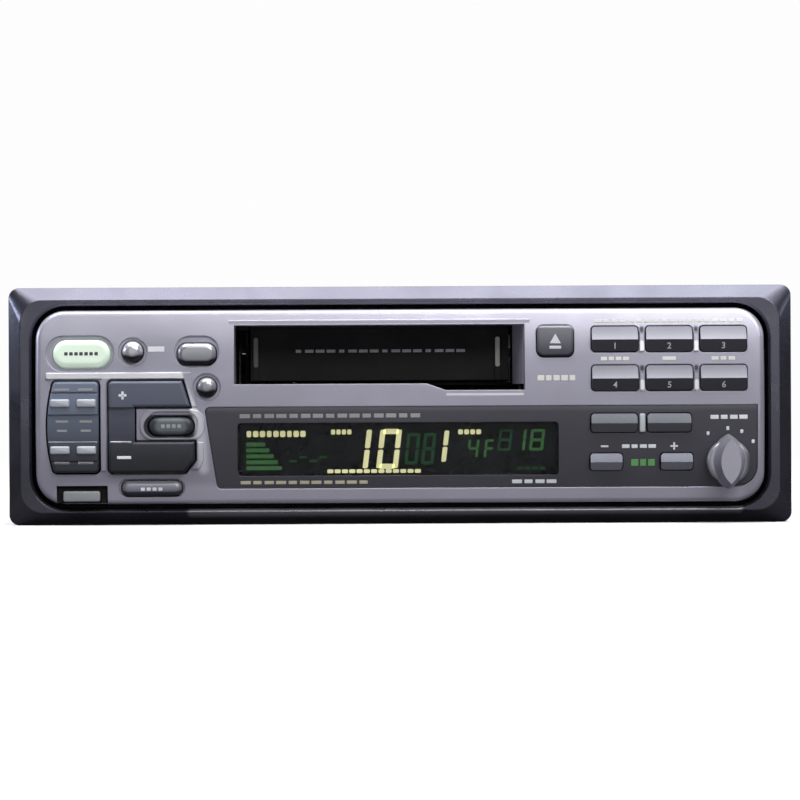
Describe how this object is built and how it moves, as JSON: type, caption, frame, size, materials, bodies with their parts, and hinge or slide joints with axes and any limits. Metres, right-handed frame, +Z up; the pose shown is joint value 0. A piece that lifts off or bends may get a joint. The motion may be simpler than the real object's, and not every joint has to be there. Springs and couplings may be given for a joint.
{
  "type": "car radio",
  "caption": "Single-height dashboard cassette radio with detachable face, key pad, display, preset keys and bass selector.",
  "frame": {"origin": "on the resting plane, under the middle of the set's box: halfway between its sides and halfway from the knob's tip to the stud's tip", "axes": "+X to the driver's right, -Y out of the dashboard towards the driver, +Z up"},
  "size_m": [0.188, 0.176, 0.057],
  "materials": {
    "trim": "satin moulded, dark blue grey",
    "nose": "fine grained, black",
    "face_silver": "silver lilac paint on moulded plastic, satin",
    "dark_panel": "dark grey lacquer",
    "smoked_lens": "smoked acrylic",
    "display": "black liquid crystal glass in its frame",
    "silicone": "translucent grey silicone",
    "circuit_board": "green solder resist",
    "connector": "black moulding",
    "lit_key": "pale green translucent, lit from behind",
    "silver_key": "silver paint, satin",
    "grey_key": "grey satin",
    "dark_key": "dark grey satin",
    "knob_silver": "silver paint, satin",
    "sheet_steel": "zinc plated sheet",
    "screws": "yellow zinc",
    "heat_sink": "die cast, as cast",
    "plated_metal": "nickel plated",
    "fuse": "translucent blue",
    "capacitor": "shrink sleeve, dark blue",
    "chip": "moulded epoxy",
    "belt_rubber": "fine ground rubber",
    "hub_plastic": "white acetal",
    "brass": "turned"
  },
  "bodies": {
    "chassis": {"trim_ring": "trim", "nose_panel": "nose", "dock_connector": "connector", "chassis_tray": "sheet_steel", "top_cover": "sheet_steel", "cover_screws": "screws", "heat_sink": "heat_sink", "power_connector": "connector", "blade_fuse": "fuse", "aerial_socket": "plated_metal", "line_out_jacks": "connector", "rear_stud": "plated_metal", "main_board": "circuit_board", "tuner_module": "plated_metal", "filter_capacitors": "capacitor", "amplifier_chip": "chip", "deck_base": "sheet_steel", "deck_motor": "plated_metal", "drive_belt": "belt_rubber"},
    "face": {"face_shell": "face_silver", "display_bezel": "dark_panel", "display_window": "smoked_lens", "display_module": "display", "key_mat": "silicone", "face_board": "circuit_board", "face_connector": "connector", "face_back": "nose", "knob_switch": "connector"},
    "source_key": {"source_key": "lit_key"},
    "display_key": {"display_key": "silver_key"},
    "sound_key": {"sound_key": "grey_key"},
    "scan_key": {"scan_key": "dark_key"},
    "loudness_key": {"loudness_key": "dark_key"},
    "noise_reduction_key": {"noise_reduction_key": "dark_key"},
    "tone_down_key": {"tone_down_key": "dark_key"},
    "tone_up_key": {"tone_up_key": "dark_key"},
    "off_button": {"off_button": "silver_key"},
    "clock_button": {"clock_button": "silver_key"},
    "eject_key": {"eject_key": "grey_key"},
    "release_key": {"release_key": "dark_key"},
    "preset_key_1": {"preset_key_1": "grey_key"},
    "preset_key_2": {"preset_key_2": "grey_key"},
    "preset_key_3": {"preset_key_3": "grey_key"},
    "preset_key_4": {"preset_key_4": "grey_key"},
    "preset_key_5": {"preset_key_5": "grey_key"},
    "preset_key_6": {"preset_key_6": "grey_key"},
    "seek_rocker": {"seek_rocker": "dark_key"},
    "volume_rocker": {"volume_rocker": "dark_key"},
    "bass_knob": {"bass_knob": "knob_silver"},
    "cassette_flap": {"cassette_flap": "nose"},
    "cassette_holder": {"cassette_holder": "sheet_steel"},
    "head_carriage": {"head_carriage": "sheet_steel", "tape_head": "plated_metal"},
    "pinch_roller_front": {"pinch_roller_front": "belt_rubber"},
    "pinch_roller_rear": {"pinch_roller_rear": "belt_rubber"},
    "reel_hub_front": {"reel_hub_front": "hub_plastic"},
    "reel_hub_rear": {"reel_hub_rear": "hub_plastic"},
    "flywheel_front": {"flywheel_front": "brass"},
    "flywheel_rear": {"flywheel_rear": "brass"},
    "motor_pulley": {"motor_pulley": "brass"}
  },
  "joints": [
    {"name": "face_removal", "type": "slide", "parent": "chassis", "child": "face", "axis": [0, -1, 0], "range_m": [0, 0.06]},
    {"name": "source_key_press", "type": "slide", "parent": "face", "child": "source_key", "axis": [0, 1, 0], "range_m": [0, 0.0008], "stiffness_N_per_m": 400, "springref_m": -0.0006},
    {"name": "display_key_press", "type": "slide", "parent": "face", "child": "display_key", "axis": [0, 1, 0], "range_m": [0, 0.0008], "stiffness_N_per_m": 400, "springref_m": -0.0006},
    {"name": "sound_key_press", "type": "slide", "parent": "face", "child": "sound_key", "axis": [0, 1, 0], "range_m": [0, 0.0008], "stiffness_N_per_m": 400, "springref_m": -0.0006},
    {"name": "scan_key_press", "type": "slide", "parent": "face", "child": "scan_key", "axis": [0, 1, 0], "range_m": [0, 0.0008], "stiffness_N_per_m": 400, "springref_m": -0.0006},
    {"name": "loudness_key_press", "type": "slide", "parent": "face", "child": "loudness_key", "axis": [0, 1, 0], "range_m": [0, 0.0008], "stiffness_N_per_m": 400, "springref_m": -0.0006},
    {"name": "noise_reduction_key_press", "type": "slide", "parent": "face", "child": "noise_reduction_key", "axis": [0, 1, 0], "range_m": [0, 0.0008], "stiffness_N_per_m": 400, "springref_m": -0.0006},
    {"name": "tone_down_key_press", "type": "slide", "parent": "face", "child": "tone_down_key", "axis": [0, 1, 0], "range_m": [0, 0.0008], "stiffness_N_per_m": 400, "springref_m": -0.0006},
    {"name": "tone_up_key_press", "type": "slide", "parent": "face", "child": "tone_up_key", "axis": [0, 1, 0], "range_m": [0, 0.0008], "stiffness_N_per_m": 400, "springref_m": -0.0006},
    {"name": "off_button_press", "type": "slide", "parent": "face", "child": "off_button", "axis": [0, 1, 0], "range_m": [0, 0.0008], "stiffness_N_per_m": 400, "springref_m": -0.0006},
    {"name": "clock_button_press", "type": "slide", "parent": "face", "child": "clock_button", "axis": [0, 1, 0], "range_m": [0, 0.0008], "stiffness_N_per_m": 400, "springref_m": -0.0006},
    {"name": "eject_key_press", "type": "slide", "parent": "face", "child": "eject_key", "axis": [0, 1, 0], "range_m": [0, 0.0008], "stiffness_N_per_m": 400, "springref_m": -0.0006},
    {"name": "release_key_press", "type": "slide", "parent": "face", "child": "release_key", "axis": [0, 1, 0], "range_m": [0, 0.0008], "stiffness_N_per_m": 400, "springref_m": -0.0006},
    {"name": "preset_key_1_press", "type": "slide", "parent": "face", "child": "preset_key_1", "axis": [0, 1, 0], "range_m": [0, 0.0008], "stiffness_N_per_m": 400, "springref_m": -0.0006},
    {"name": "preset_key_2_press", "type": "slide", "parent": "face", "child": "preset_key_2", "axis": [0, 1, 0], "range_m": [0, 0.0008], "stiffness_N_per_m": 400, "springref_m": -0.0006},
    {"name": "preset_key_3_press", "type": "slide", "parent": "face", "child": "preset_key_3", "axis": [0, 1, 0], "range_m": [0, 0.0008], "stiffness_N_per_m": 400, "springref_m": -0.0006},
    {"name": "preset_key_4_press", "type": "slide", "parent": "face", "child": "preset_key_4", "axis": [0, 1, 0], "range_m": [0, 0.0008], "stiffness_N_per_m": 400, "springref_m": -0.0006},
    {"name": "preset_key_5_press", "type": "slide", "parent": "face", "child": "preset_key_5", "axis": [0, 1, 0], "range_m": [0, 0.0008], "stiffness_N_per_m": 400, "springref_m": -0.0006},
    {"name": "preset_key_6_press", "type": "slide", "parent": "face", "child": "preset_key_6", "axis": [0, 1, 0], "range_m": [0, 0.0008], "stiffness_N_per_m": 400, "springref_m": -0.0006},
    {"name": "seek_rocker_tilt", "type": "hinge", "parent": "face", "child": "seek_rocker", "pos_m": [-0.078, -0.0755, 0.0236], "axis": [1, 0, 0], "range_deg": [-2.5, 2.5], "stiffness_Nm_per_rad": 0.12},
    {"name": "volume_rocker_tilt", "type": "hinge", "parent": "face", "child": "volume_rocker", "pos_m": [-0.06, -0.0755, 0.0236], "axis": [1, 0, 0], "range_deg": [-2.5, 2.5], "stiffness_Nm_per_rad": 0.12},
    {"name": "bass_knob_turn", "type": "hinge", "parent": "face", "child": "bass_knob", "pos_m": [0.0782, -0.08, 0.0147], "axis": [0, 1, 0], "range_deg": [-35, 52]},
    {"name": "flap_swing", "type": "hinge", "parent": "chassis", "child": "cassette_flap", "pos_m": [-0.00645, -0.0658, 0.048], "axis": [1, 0, 0], "range_deg": [0, 88], "stiffness_Nm_per_rad": 0.002, "springref_deg": -22.92},
    {"name": "holder_lift", "type": "slide", "parent": "chassis", "child": "cassette_holder", "axis": [0, 0, 1], "range_m": [-0.0095, 0]},
    {"name": "head_advance", "type": "slide", "parent": "chassis", "child": "head_carriage", "axis": [-1, 0, 0], "range_m": [0, 0.005], "stiffness_N_per_m": 60, "springref_m": -0.004},
    {"name": "flywheel_rear_spin", "type": "hinge", "parent": "chassis", "child": "flywheel_rear", "pos_m": [0.0145, 0.0333, 0.0185], "axis": [0, 0, 1], "continuous": true},
    {"name": "flywheel_front_spin", "type": "hinge", "parent": "chassis", "child": "flywheel_front", "pos_m": [0.0145, -0.0333, 0.0185], "axis": [0, 0, 1], "continuous": true},
    {"name": "reel_rear_spin", "type": "hinge", "parent": "chassis", "child": "reel_hub_rear", "pos_m": [-0.0073, 0.02125, 0.0235], "axis": [0, 0, 1], "continuous": true},
    {"name": "pinch_roller_rear_spin", "type": "hinge", "parent": "head_carriage", "child": "pinch_roller_rear", "pos_m": [0.0256, 0.0333, 0.0295], "axis": [0, 0, 1], "continuous": true},
    {"name": "reel_front_spin", "type": "hinge", "parent": "chassis", "child": "reel_hub_front", "pos_m": [-0.0073, -0.02125, 0.0235], "axis": [0, 0, 1], "continuous": true},
    {"name": "pinch_roller_front_spin", "type": "hinge", "parent": "head_carriage", "child": "pinch_roller_front", "pos_m": [0.0256, -0.0333, 0.0295], "axis": [0, 0, 1], "continuous": true},
    {"name": "motor_spin", "type": "hinge", "parent": "chassis", "child": "motor_pulley", "pos_m": [0.06, 0.036, 0.0175], "axis": [0, 0, 1], "continuous": true}
  ],
  "couplings": [
    {"joint": "flywheel_front_spin", "follows": "flywheel_rear_spin", "ratio": 1},
    {"joint": "motor_spin", "follows": "flywheel_rear_spin", "ratio": 3.5},
    {"joint": "pinch_roller_rear_spin", "follows": "flywheel_rear_spin", "ratio": -0.2},
    {"joint": "pinch_roller_front_spin", "follows": "flywheel_rear_spin", "ratio": -0.2}
  ]
}
